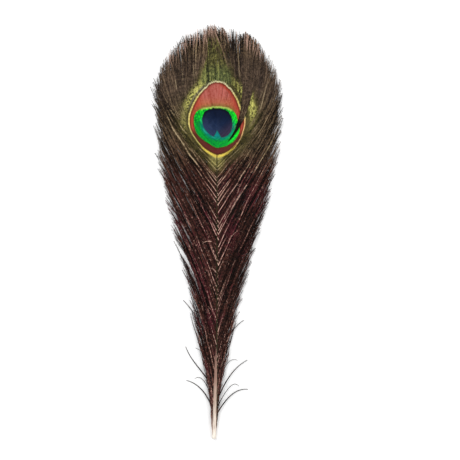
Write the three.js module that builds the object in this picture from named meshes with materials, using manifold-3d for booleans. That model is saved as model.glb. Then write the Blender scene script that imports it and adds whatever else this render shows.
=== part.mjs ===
// A peacock's eye feather, trimmed to a foot long and lying flat with its eye up.
// Millimetres, +Z up. The tip points along +Y, and the origin is under the middle of the eye, on the
// surface that the feather lies on. Heights along the shaft are measured from the cut end of the quill.

import * as THREE from "three";
import { mergeVertices } from "three/addons/utils/BufferGeometryUtils.js";
import Module from "manifold-3d";

const wasm = await Module();
wasm.setup();

const { clamp, degToRad, lerp } = THREE.MathUtils;
const goldenAngle = Math.PI * (3 - Math.sqrt(5));

// Driving dimensions
const featherLength = 305; // the cut end to the top of the fringe
const eyeHeight = 236.5; // the cut end to the middle of the eye
const fanMiddle = 250; // the height that the fringe over the eye fans out from
const fanHalfWidth = 47;
const fanHalfAngle = 75; // degrees from the tip to the lowest barb of the fan
const shaftEnd = 258; // the shaft is a hair here, near the top of the eye
const bodyBottom = 24; // the lowest barbs, over the bare quill
const bodyTop = 203; // the highest barbs of the body, under the eye

// The shaft by height: how far its middle is to the right of the eye's, the gap under it, and its radius.
// It arches off the surface between the quill's end and the eye.
const shaft = [
  { at: 0, across: -2.2, under: 0, radius: 1.5 },
  { at: 60, across: -0.6, under: 3.2, radius: 1.3 },
  { at: 115, across: 1.1, under: 4.4, radius: 1.05 },
  { at: 170, across: 1.0, under: 2.7, radius: 0.75 },
  { at: 206, across: -0.3, under: 0.6, radius: 0.55 },
  { at: eyeHeight, across: 0, under: 0.25, radius: 0.4 },
  { at: shaftEnd, across: 0.3, under: 0.25, radius: 0.3 },
];

// The barbs of the body by the height of their root: the angles from the shaft that they leave it at,
// point along on the whole and end at, and the straight distance from root to tip
const body = [
  { at: bodyBottom, leaves: 9, points: 14, ends: 24, reach: 52 },
  { at: 60, leaves: 15, points: 19, ends: 30, reach: 84 },
  { at: 100, leaves: 22, points: 24, ends: 30, reach: 98 },
  { at: 150, leaves: 30, points: 28.5, ends: 26, reach: 95 },
  { at: 190, leaves: 41, points: 33.5, ends: 18, reach: 82 },
  { at: bodyTop, leaves: 48, points: 36.4, ends: 14, reach: 76 },
];

// Loose single barbs by the quill. A side of 1 is the right, and -1 the left.
const wisps = [
  { at: 17, side: 1, leaves: 30, points: 52, ends: 96, reach: 31 },
  { at: 21, side: -1, leaves: 22, points: 44, ends: 78, reach: 30 },
  { at: 27, side: 1, leaves: 24, points: 38, ends: 62, reach: 39 },
  { at: 34, side: -1, leaves: 18, points: 33, ends: 20, reach: 40 },
  { at: 46, side: 1, leaves: 16, points: 27, ends: 58, reach: 46 },
  { at: 58, side: -1, leaves: 20, points: 29, ends: 44, reach: 50 },
];

// The locks of barbs that the vanes are made of, and how much they stray from an even row
const bodyLocks = 22; // on each side
const fanLocks = 9; // on each side of the tip
const fanLockWidth = 9.5;
const tipLockWidth = 6;
const lockThickness = 0.9;
const rootShare = 0.2; // how far along a lock's bulge it leaves the shaft
const wispWidth = 1;
const tipHeights = [0.8, 2.2, 1.3, 1.8]; // over the surface, by turns
const ragged = 0.035; // how uneven the tips are, as a share of a lock's length
const strayAngle = 1; // degrees

// The vane around the eye, where the barbs are zipped together into one flat sheet
const vane = { halfWidth: 26, bottom: -34, widest: -2, top: 31, thickness: 1.3, edge: 0.3 };

const shaftSides = 8;
const apothem = Math.cos(Math.PI / shaftSides); // the shaft's flat underside, as a share of its radius

// A station list's value at a height, on one smooth curve through the stations.
function along(stations, at, key) {
  const slope = (k) => {
    const [a, b] = [stations[Math.max(k - 1, 0)], stations[Math.min(k + 1, stations.length - 1)]];
    return (b[key] - a[key]) / (b.at - a.at);
  };
  const above = stations.findIndex((s) => s.at > at);
  const k = above < 0 ? stations.length - 2 : Math.max(above - 1, 0);
  const [a, b] = [stations[k], stations[k + 1]];
  const span = b.at - a.at;
  const t = clamp((at - a.at) / span, 0, 1);
  const bend = t * (1 - t) * span * ((1 - t) * slope(k) - t * slope(k + 1));
  const ease = t * t * (3 - 2 * t);
  return lerp(a[key], b[key], ease) + bend;
}

// The middle of the shaft at a height.
function shaftPoint(at) {
  const radius = along(shaft, at, "radius");
  const middle = along(shaft, at, "under") + radius * apothem;
  return new THREE.Vector3(along(shaft, at, "across"), at - eyeHeight, middle);
}

// A unit vector over the surface, at an angle from +Y towards one side.
function heading(degrees, side) {
  const angle = degToRad(degrees);
  return new THREE.Vector3(side * Math.sin(angle), Math.cos(angle), 0);
}

// A number from -1 to 1 that looks random from one lock to the next.
function scatter(i) {
  return Math.sin(i * goldenAngle);
}

// A barb's line from the shaft to its tip. It leaves and ends at the given angles.
function barbLine(root, tip, side, leaves, ends) {
  const pull = 0.36 * root.distanceTo(tip);
  const out = root.clone().addScaledVector(heading(leaves, side), pull);
  const back = tip.clone().addScaledVector(heading(ends, side), -pull);
  out.z = lerp(root.z, tip.z, 0.3);
  back.z = lerp(root.z, tip.z, 0.85);
  return new THREE.CubicBezierCurve3(root, out, back, tip);
}

// A barb of the body or a wisp, from a station's numbers.
function bodyLine(at, side, { leaves, points, ends, reach }, tipHeight) {
  const root = shaftPoint(at);
  const tip = root.clone().addScaledVector(heading(points, side), reach).setZ(tipHeight);
  return barbLine(root, tip, side, leaves, ends);
}

// A barb of the fan, by its angle from the feather's tip and its share of the full reach.
function fanLine(angle, side, reach, tipHeight) {
  const share = angle / fanHalfAngle;
  const root = shaftPoint(lerp(shaftEnd, bodyTop, share ** 0.8));
  const tip = new THREE.Vector3(
    side * reach * fanHalfWidth * Math.sin(degToRad(angle)),
    fanMiddle - eyeHeight + reach * (featherLength - fanMiddle) * Math.cos(degToRad(angle)),
    tipHeight,
  );
  const last = body.at(-1);
  return barbLine(root, tip, side, last.leaves * share ** 0.5, last.ends * share);
}

// Bends a pointed cylinder along a line, with a width and a thickness at each share of the way.
function sweep(line, sides, steps, turn, halfWidth, halfThickness) {
  const shape = new THREE.CylinderGeometry(1, 0, 1, sides, steps);
  const place = shape.getAttribute("position");
  for (let i = 0; i < place.count; i++) {
    const [x, z] = [place.getX(i), place.getZ(i)];
    const t = clamp(0.5 - place.getY(i), 0, 1);
    const point = line.getPoint(t);
    if (Math.hypot(x, z) > 1e-6) {
      const tangent = line.getTangent(t);
      const right = new THREE.Vector3(tangent.y, -tangent.x, 0).normalize();
      const over = right.clone().cross(tangent);
      const angle = Math.atan2(x, z) + turn;
      point.addScaledVector(right, halfWidth(t) * Math.sin(angle));
      point.addScaledVector(over, halfThickness(t) * Math.cos(angle));
    }
    place.setXYZ(i, point.x, point.y, point.z);
  }
  return shape;
}

// A closed geometry as a solid that can be joined to others.
function solidOf(geometry) {
  geometry.deleteAttribute("normal");
  geometry.deleteAttribute("uv");
  const merged = mergeVertices(geometry, 1e-4);
  const surface = {
    numProp: 3,
    vertProperties: merged.getAttribute("position").array,
    triVerts: new Uint32Array(merged.index.array),
  };
  const solid = new wasm.Manifold(new wasm.Mesh(surface));
  if (solid.volume() > 0) return solid;
  surface.triVerts.reverse(); // the bend turned the cylinder inside out
  return new wasm.Manifold(new wasm.Mesh(surface));
}

function shaftSolid() {
  const steps = 24;
  const knots = Array.from({ length: steps + 1 }, (_, i) => shaftPoint((shaftEnd * i) / steps));
  const radius = (t) => along(shaft, t * shaftEnd, "radius");
  const line = new THREE.CatmullRomCurve3(knots);
  return solidOf(sweep(line, shaftSides, steps, Math.PI / shaftSides, radius, radius));
}

// A flat sheet with an egg's outline, pointed at the bottom where the shaft comes in.
function vaneSolid() {
  const { halfWidth, bottom, widest, top, thickness, edge } = vane;
  const outline = new THREE.Shape();
  outline.moveTo(0, bottom);
  outline.bezierCurveTo(halfWidth * 0.6, bottom * 0.7, halfWidth, bottom * 0.4, halfWidth, widest);
  outline.bezierCurveTo(halfWidth, top * 0.5, halfWidth * 0.5, top, 0, top);
  outline.bezierCurveTo(-halfWidth * 0.5, top, -halfWidth, top * 0.5, -halfWidth, widest);
  outline.bezierCurveTo(-halfWidth, bottom * 0.4, -halfWidth * 0.6, bottom * 0.7, 0, bottom);
  const sheet = new THREE.ExtrudeGeometry(outline, {
    depth: thickness - 2 * edge,
    curveSegments: 9,
    bevelThickness: edge,
    bevelSize: 2 * edge,
    bevelOffset: -2 * edge,
    bevelSegments: 1,
  });
  return solidOf(sheet.translate(0, 0, edge));
}

// A lock: narrow at the shaft, widest at a share of the way and pointed at the tip.
function lockSolid(line, width, widestAt, thickness) {
  const skew = Math.log(0.5) / Math.log(widestAt);
  const bulge = (t) => Math.sin(Math.PI * lerp(rootShare, 1, t ** skew));
  const halfWidth = (t) => (width / 2) * bulge(t);
  const halfThickness = (t) => (thickness / 2) * lerp(1, 0.35, t);
  return solidOf(sweep(line, 4, 7, 0, halfWidth, halfThickness));
}

function bodySolids() {
  const spacing = (bodyTop - bodyBottom) / (bodyLocks - 1);
  const solids = [];
  for (const side of [-1, 1]) {
    for (let i = 0; i < bodyLocks; i++) {
      const at = bodyBottom + i * spacing;
      const barb = Object.fromEntries(Object.keys(body[0]).map((key) => [key, along(body, at, key)]));
      const width = 1.7 + 1.5 * spacing * Math.sin(degToRad(barb.points));
      barb.reach *= 1 + ragged * scatter(i + side);
      barb.points += strayAngle * scatter(3 * i - side);
      const line = bodyLine(at, side, barb, tipHeights[(i + (side > 0)) % tipHeights.length]);
      solids.push(lockSolid(line, width, 0.45, lockThickness));
    }
  }
  return solids;
}

function fanSolids() {
  const tip = fanLine(0, 1, 1, tipHeights[0]);
  const solids = [lockSolid(tip, tipLockWidth, 0.6, lockThickness)];
  for (const side of [-1, 1]) {
    for (let i = 0; i < fanLocks; i++) {
      const angle = (fanHalfAngle * (i + 0.8)) / (fanLocks + 0.3) + strayAngle * scatter(3 * i - side);
      const reach = 1 + ragged * (scatter(i + side) - 1);
      const line = fanLine(angle, side, reach, tipHeights[(i + 1) % tipHeights.length]);
      solids.push(lockSolid(line, fanLockWidth, 0.55, lockThickness));
    }
  }
  return solids;
}

function wispSolids() {
  return wisps.map((wisp, i) => {
    const line = bodyLine(wisp.at, wisp.side, wisp, tipHeights[i % tipHeights.length]);
    return lockSolid(line, wispWidth, 0.4, lockThickness);
  });
}

function featherGeometry() {
  const solids = [shaftSolid(), vaneSolid(), ...bodySolids(), ...fanSolids(), ...wispSolids()];
  const joined = solids.reduce((whole, next) => whole.add(next));
  const mesh = joined.getMesh();
  const geometry = new THREE.BufferGeometry();
  geometry.setAttribute("position", new THREE.BufferAttribute(mesh.vertProperties, 3));
  geometry.setIndex(new THREE.BufferAttribute(mesh.triVerts, 1));
  geometry.computeVertexNormals();
  return geometry;
}

const barbMaterial = new THREE.MeshStandardMaterial({
  color: 0x3d3025, // dark bronze brown
  roughness: 0.6,
  metalness: 0.15,
});

const feather = new THREE.Mesh(featherGeometry(), barbMaterial);
feather.name = "feather";

const part = new THREE.Group();
part.add(feather);

export default part;
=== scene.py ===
import math
import bpy
import numpy as np
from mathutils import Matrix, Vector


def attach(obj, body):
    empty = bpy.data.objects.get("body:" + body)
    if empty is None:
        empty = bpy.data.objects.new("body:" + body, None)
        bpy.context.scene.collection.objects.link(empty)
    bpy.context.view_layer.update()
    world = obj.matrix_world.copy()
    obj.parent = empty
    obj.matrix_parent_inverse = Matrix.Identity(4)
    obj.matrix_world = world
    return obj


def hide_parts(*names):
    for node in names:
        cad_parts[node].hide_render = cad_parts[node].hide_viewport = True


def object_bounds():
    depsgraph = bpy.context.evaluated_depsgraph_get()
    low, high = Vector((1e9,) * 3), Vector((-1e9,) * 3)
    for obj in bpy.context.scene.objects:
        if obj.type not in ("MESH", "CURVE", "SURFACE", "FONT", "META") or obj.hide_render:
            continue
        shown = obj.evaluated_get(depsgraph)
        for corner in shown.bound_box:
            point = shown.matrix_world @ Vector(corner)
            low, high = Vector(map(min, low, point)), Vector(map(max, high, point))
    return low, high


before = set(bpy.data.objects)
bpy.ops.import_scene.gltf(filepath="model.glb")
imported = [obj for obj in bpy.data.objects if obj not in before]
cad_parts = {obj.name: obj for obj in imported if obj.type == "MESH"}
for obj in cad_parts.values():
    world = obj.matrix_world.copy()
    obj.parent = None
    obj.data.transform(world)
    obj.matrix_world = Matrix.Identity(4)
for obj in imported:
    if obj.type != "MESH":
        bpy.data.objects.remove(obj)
cadBox = [list(corner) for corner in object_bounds()]
print("frame loaded")

mm = 0.001  # everything below is in millimetres until it becomes a mesh

# The feather lies with its tip along +Y. Heights are measured up the shaft from the cut end.
feather = {
    "length": 305,
    "eyeHeight": 236.5,
    "shaftEnd": 258,
    "fanMiddle": 250,  # the fringe over the eye fans out from this height
    "fanHalfWidth": 47,
    "fanHalfAngle": 75,
    "fanTipHeight": 0.6,
}

# The shaft's drift to the right, the gap under it and its radius, by height
shaftStations = {
    "at": [0, 60, 115, 170, 206, 236.5, 258],
    "across": [-2.2, -0.6, 1.1, 1.0, -0.3, 0, 0.3],
    "under": [0, 3.0, 3.95, 2.6, 0.6, 0.25, 0.25],
    "radius": [1.5, 1.3, 1.05, 0.75, 0.55, 0.4, 0.3],
}

# The body's barbs by the height of their root: the angles from the shaft that they leave it at, point
# along on the whole and end at, and the straight distance to the tip
bodyStations = {
    "at": [2, 24, 60, 100, 150, 190, 203],
    "leaves": [5, 9, 14, 20, 27, 38, 48],
    "points": [8, 14, 19, 24, 28.5, 33.5, 36.4],
    "ends": [20, 24, 30, 30, 26, 18, 14],
    "reach": [36, 52, 84, 98, 95, 82, 76],
}


def along(stations, key, at):
    # one smooth curve through the stations, with the slope at each from its neighbours
    places = np.array(stations["at"], float)
    values = np.array(stations[key], float)
    inner = (values[2:] - values[:-2]) / (places[2:] - places[:-2])
    first = (values[1] - values[0]) / (places[1] - places[0])
    last = (values[-1] - values[-2]) / (places[-1] - places[-2])
    slopes = np.concatenate([[first], inner, [last]])
    at = np.asarray(at, float)
    k = np.clip(np.searchsorted(places, at, side="right") - 1, 0, len(places) - 2)
    span = places[k + 1] - places[k]
    t = np.clip((at - places[k]) / span, 0, 1)
    bend = t * (1 - t) * span * ((1 - t) * slopes[k] - t * slopes[k + 1])
    ease = t * t * (3 - 2 * t)
    return values[k] + (values[k + 1] - values[k]) * ease + bend


def shaftPoint(at):
    radius = along(shaftStations, "radius", at)
    middle = along(shaftStations, "under", at) + radius * math.cos(math.pi / 8)  # eight flat sides
    across = along(shaftStations, "across", at)
    return np.stack([across, at - feather["eyeHeight"] + 0 * across, middle], axis=-1)


def heading(degrees, side):
    angle = np.radians(degrees)
    return np.stack([side * np.sin(angle), np.cos(angle), 0 * angle], axis=-1)


def barbLines(root, tip, side, leaves, ends, steps):
    # one smooth bend for each barb: rows of barbs, then points from root to tip
    pull = 0.36 * np.linalg.norm(tip - root, axis=-1)[:, None]
    out = root + heading(leaves, side) * pull
    back = tip - heading(ends, side) * pull
    out[:, 2] = root[:, 2] + 0.3 * (tip[:, 2] - root[:, 2])
    back[:, 2] = root[:, 2] + 0.85 * (tip[:, 2] - root[:, 2])
    t = np.linspace(0, 1, steps + 1)[None, :, None]
    corners = [corner[:, None, :] for corner in (root, out, back, tip)]
    shares = [(1 - t) ** 3, 3 * t * (1 - t) ** 2, 3 * t * t * (1 - t), t**3]
    return sum(corner * share for corner, share in zip(corners, shares))


# A value or colour on its way through a node tree. Sums with it add Math nodes.
class Wire:
    def __init__(self, tree, socket):
        self.tree = tree
        self.socket = socket

    def other(self, name):
        return Wire(self.tree, self.socket.node.outputs[name])

    def maths(self, operation, *values):
        return self.tree.add("ShaderNodeMath", {"operation": operation}, values)

    def __add__(self, value):
        return self.maths("ADD", self, value)

    def __radd__(self, value):
        return self.maths("ADD", value, self)

    def __sub__(self, value):
        return self.maths("SUBTRACT", self, value)

    def __rsub__(self, value):
        return self.maths("SUBTRACT", value, self)

    def __mul__(self, value):
        return self.maths("MULTIPLY", self, value)

    def __rmul__(self, value):
        return self.maths("MULTIPLY", value, self)

    def __truediv__(self, value):
        return self.maths("DIVIDE", self, value)

    def __rtruediv__(self, value):
        return self.maths("DIVIDE", value, self)

    def __pow__(self, value):
        return self.maths("POWER", self, value)

    def __rpow__(self, value):
        return self.maths("POWER", value, self)


class Tree:
    def __init__(self, nodeTree):
        self.tree = nodeTree

    # settings go first: plain ones by name, stops of a ramp and points of a curve
    def add(self, kind, settings=None, values=(), output=0):
        node = self.tree.nodes.new(kind)
        for name, setting in (settings or {}).items():
            if name == "stops":
                fillRamp(node.color_ramp, setting)
            elif name == "points":
                fillCurve(node.mapping, setting)
            else:
                setattr(node, name, setting)
        pairs = values.items() if isinstance(values, dict) else enumerate(values)
        for key, value in pairs:
            self.feed(node.inputs[key], value)
        return Wire(self, node.outputs[output]) if len(node.outputs) else node

    def feed(self, socket, value):
        if isinstance(value, Wire):
            self.tree.links.new(value.socket, socket)
        elif isinstance(value, (list, tuple)) and isinstance(value[0], Wire):
            for wire in value:
                self.tree.links.new(wire.socket, socket)
        else:
            socket.default_value = value

    def mix(self, share, low, high):
        # a colour goes by its name, or comes from another node
        low, high = (dyes[colour] if isinstance(colour, str) else colour for colour in (low, high))
        return self.add("ShaderNodeMix", {"data_type": "RGBA"}, {0: share, 6: low, 7: high}, output=2)

    def vector(self, *parts):
        return self.add("ShaderNodeCombineXYZ", values=parts)

    def parts(self, vector):
        return self.add("ShaderNodeSeparateXYZ", values=[vector])

    def ease(self, value, start, end):
        # 0 before start and 1 after end, with a soft step between
        settings = {"interpolation_type": "SMOOTHSTEP"}
        return self.add("ShaderNodeMapRange", settings, {0: value, 1: start, 2: end, 3: 0.0, 4: 1.0})

    def noise(self, vector, scale, detail):
        return self.add("ShaderNodeTexNoise", {}, {"Vector": vector, "Scale": scale, "Detail": detail})


def fillRamp(ramp, stops):
    while len(ramp.elements) > 1:
        ramp.elements.remove(ramp.elements[-1])
    ramp.elements[0].position = stops[0][0]
    ramp.elements[0].color = stops[0][1]
    for place, colour in stops[1:]:
        ramp.elements.new(place).color = colour


def fillCurve(mapping, points):
    curve = mapping.curves[0]
    curve.points[0].location = points[0]
    curve.points[-1].location = points[-1]
    for point in points[1:-1]:
        curve.points.new(*point)
    mapping.update()


def dye(*screen):
    # a colour from its screen values of 0 to 255
    def linear(value):
        value = value / 255
        return value / 12.92 if value <= 0.04045 else ((value + 0.055) / 1.055) ** 2.4
    return (*map(linear, screen), 1.0)


# the eye's colours and the other barbs', in screen values
eyeDyes = {
    "pupil": (10, 28, 58),
    "pupilPale": (48, 62, 92),
    "pupilLow": (52, 44, 66),
    "pupilRim": (2, 4, 18),
    "green": (0, 158, 42),
    "greenLow": (0, 156, 42),
    "greenDark": (0, 112, 46),
    "greenBright": (20, 224, 38),
    "teal": (0, 122, 104),
    "cyan": (40, 164, 146),
    "notch": (14, 130, 134),
    "lime": (160, 182, 88),
    "coral": (180, 100, 90),
    "orange": (176, 104, 68),
    "red": (174, 70, 54),
    "redRim": (104, 44, 28),
    "brownRim": (72, 38, 20),
    "maroon": (92, 38, 34),
    "cream": (210, 202, 158),
    "creamYellow": (220, 202, 120),
    "dullYellow": (178, 168, 98),
    "pinkCream": (216, 172, 114),
    "yellow": (206, 184, 80),
    "darkOlive": (46, 48, 28),
    "olive": (88, 80, 44),
    "yellowOlive": (206, 202, 110),
    "grey": (128, 120, 106),
    "leafGreen": (88, 96, 58),
    "leafTop": (80, 74, 44),
    "overRing": (104, 98, 46),
}

barbDyes = {
    "dark": (12, 7, 6),
    "brown": (87, 51, 42),
    "purple": (84, 30, 40),
    "foot": (128, 86, 76),
    "fringe": (113, 92, 70),
    "calmDark": (50, 40, 34),
    "calmPale": (102, 84, 72),
    "moss": (62, 58, 32),
    # palePink and paleOlive tint the painted highlights; palePink also colours the fringe's painted tips and
    # the pale cut end
    "palePink": (216, 176, 158),
    "paleOlive": (170, 150, 116),
    "under": (66, 54, 44),
}

dyes = {name: dye(*colour) for name, colour in {**eyeDyes, **barbDyes}.items()}

# The eye's shapes, in millimetres: each one's radius about a middle of its own, at even steps from the
# bottom up the left side to the top and down the right side
eyeShapes = {
    "outline": [28.3, 24.8, 22.2, 21.2, 20.0, 19.2, 20.1, 22.6, 25.6,
                22.9, 19.5, 17.9, 18.4, 20.5, 23.2, 26.2, 28.3],
    "outlineWidth": 1.3,
    "ringMiddle": (-0.4, -4.2),
    "ring": [18.5, 16.4, 16.1, 16.5, 16.6, 17.0, 14.9, 12.6, 12.1,
             12.7, 14.4, 15.6, 15.7, 17.6, 18.5, 18.6, 18.5],
    "pupilMiddle": (0.3, -4.4),
    "pupil": [10.5, 10.5, 10.3, 10.6, 11.1, 12.0, 12.4, 11.4, 10.8,
              11.0, 11.4, 11.2, 11.1, 11.6, 12.0, 11.5, 10.5],
    "notch": (0.2, -10.1),
    "notchSlope": 1.75,
}

# where a barb's finish changes along the feather, in millimetres up from the middle of the eye: where
# each change starts, and where it is complete
barbZones = {
    "fringe": (-48, -10),  # from the body's brown to the fringe's
    "purple": (-20, -60),
    "foot": (-165, -215),  # redder beside the quill
    "cut": (-212, -232),  # and palest at its cut end
    "flankTop": (0, -20),
    "flankEnd": (-75, -50),
    "rooted": (-140, -90),  # pale lines along the shaft: the ribs' tan with a painted highlight
    "lined": (-30, 10),  # more pale rib lines, the ribs' tan with a painted highlight, on the fringe than on the body
    # painted highlight sparks on the body's barbules: where they start and where they are full
    "sparkHighlights": (-15, -35),
    "palest": (-60, -25),  # the painted highlights' tint: from pink streaks to olive ones
    "wearAndTipHighlight": (32, 48),  # the fringe's tips, where pale pink highlights are painted
    "calm": (0, 20),  # the fringe below them is more even
    "calmEnd": (52, 38),
}
nearEye = (42, 24)  # how far from the eye's middle the barbs turn olive


def newPaint(name):
    material = bpy.data.materials.new(name)
    material.use_nodes = True
    return material, Tree(material.node_tree), material.node_tree.nodes["Principled BSDF"]


def roundShape(tree, x, y, radii):
    # how far a point is outside a shape given by its radius all round
    span = 40.0  # the curve node holds values from 0 to 1
    turn = x.maths("ARCTAN2", x, y) / (2 * math.pi) + 0.5
    points = [(i / (len(radii) - 1), radius / span) for i, radius in enumerate(radii)]
    rim = tree.add("ShaderNodeFloatCurve", {"points": points}, {"Factor": 1.0, "Value": turn}) * span
    return (x * x + y * y) ** 0.5 - rim


def barbPaint():
    material, tree, shader = newPaint("barbs")
    ease, mix = tree.ease, tree.mix

    def attribute(title, output="Fac"):
        return tree.add("ShaderNodeAttribute", {"attribute_name": title}, output=output)

    share = attribute("share")  # 0 at the shaft and 1 at the tip
    luck = attribute("luck")  # one random number for each barb
    lock = attribute("lock")  # and one for each group of barbs
    blade = attribute("blade")  # 1 on the barbules and 0 on the rib that carries them
    across = attribute("across")  # 0 along the middle of the rib
    mark = attribute("mark", "Vector")  # where the barb's pattern is, with the barb in its place
    spot = tree.parts(mark)
    x = spot * 1000
    y = spot.other("Y") * 1000
    away = (x * x + y * y) ** 0.5

    def zone(title, at=y):
        return ease(at, *barbZones[title])

    def barbNoise(steps, detail):
        # noise that runs along each barb, different on each
        return tree.noise(tree.vector(share * steps, luck * 400, 0), 1, detail)

    streak = barbNoise(7, 2)
    grain = barbNoise(60, 1)
    sway = streak - 0.5
    wander = tree.noise(mark, 45, 3)
    cloud = tree.noise(mark, 260, 2)
    speckle = tree.noise(mark, 700, 2)
    fleck = tree.noise(mark, 1400, 1)

    # dark brown, with purple patches on the body and olive round the eye
    flank = ease(share, 0.35, 0.65) * zone("flankTop") * zone("flankEnd")
    shade = luck * 0.25 + streak * 0.3 + grain * 0.45 + fleck * 0.55 + 0.07 * flank
    pale = mix(zone("fringe", y + 30 * (wander - 0.5)), "brown", "fringe")
    pale = mix(zone("foot"), pale, "foot")
    brown = mix(ease(shade, 0.64, 0.96), "dark", pale)
    patch = ease(lock * 0.3 + luck * 0.25 + wander * 1.2, 0.84, 1.12)
    patch = zone("purple", y + 60 * (wander - 0.5)) * patch * ease(shade, 0.58, 0.88)
    brown = mix(patch * 0.9, brown, "purple")
    brown = mix(zone("cut") * 0.5, brown, "palePink")
    near = ease(away + 16 * sway, *nearEye)
    brown = mix(near * ease(shade, 0.5, 0.9) * 0.6, brown, "moss")

    # painted highlights: some barbs shine, and where they leave the shaft many have a pale line along the
    # rib, the rib's own tan brightened as if lit
    root = ease(share + 0.1 * sway, 0.2, 0.08)
    shine = ease(luck, 0.94, 0.96) * ease(share, 0.12, 0.3)
    shine = shine * ease(streak + 0.4 * grain, 0.62, 0.8)
    rib = ease(across.maths("ABSOLUTE", across), 0.36, 0.18) * (1 - blade)
    rooted = rib * root * ease(luck, 0.8, 0.84) * ease(grain, 0.25, 0.5) * zone("rooted")
    line = rib * ease(luck + 0.3 * streak + 0.12 * zone("lined"), 0.9, 1.08)
    line = line * ease(grain, 0.38, 0.6) * ease(streak + 0.3 * root, 0.42, 0.56)
    # pale sparks on the barbules are painted highlights too
    sparkHighlight = ease(speckle * 0.5 + fleck * 0.5, 0.6, 0.66) * ease(luck + streak, 0.8, 1.2)
    highlight = shine
    for other in (line, rooted, sparkHighlight * zone("sparkHighlights") * 0.45):
        highlight = highlight.maths("MAXIMUM", highlight, other)
    # the painted highlights' colour, pink low on the body and olive higher up
    palest = mix(zone("palest"), "palePink", "paleOlive")
    brown = mix(highlight * ease(share, 1, 0.7) * 0.9, brown, palest)

    # the fringe's tips get painted pale pink highlights, as light catching them, and below them is fine even
    # mottling
    tips = ease(share, 0.85, 0.97) * ease(luck, 0.55, 0.75) * zone("wearAndTipHighlight")
    brown = mix(tips * 0.6, brown, "palePink")
    calm = mix(ease(speckle, 0.38, 0.62), "calmDark", "calmPale")
    brown = mix(zone("calm") * zone("calmEnd") * 0.5, brown, calm)

    # what differs from barb to barb
    chances = {"luck": luck, "lock": lock, "streak": streak, "sway": sway, "grain": grain,
               "fleck": fleck, "shade": shade, "cloud": cloud, "speckle": speckle}
    colour = eyeMarks(tree, brown, x, y, chances)

    # undersides are duller
    normal = tree.add("ShaderNodeNewGeometry", output="Normal")
    facing = tree.parts(normal).other("Z")
    colour = mix(ease(facing, 0, -0.4) * 0.8, colour, "under")
    tree.feed(shader.inputs["Base Color"], colour)
    tree.feed(shader.inputs["Roughness"], 0.4 + 0.3 * fleck)
    shader.inputs["Metallic"].default_value = 0
    shader.inputs["Specular IOR Level"].default_value = 0.08
    return material


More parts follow.
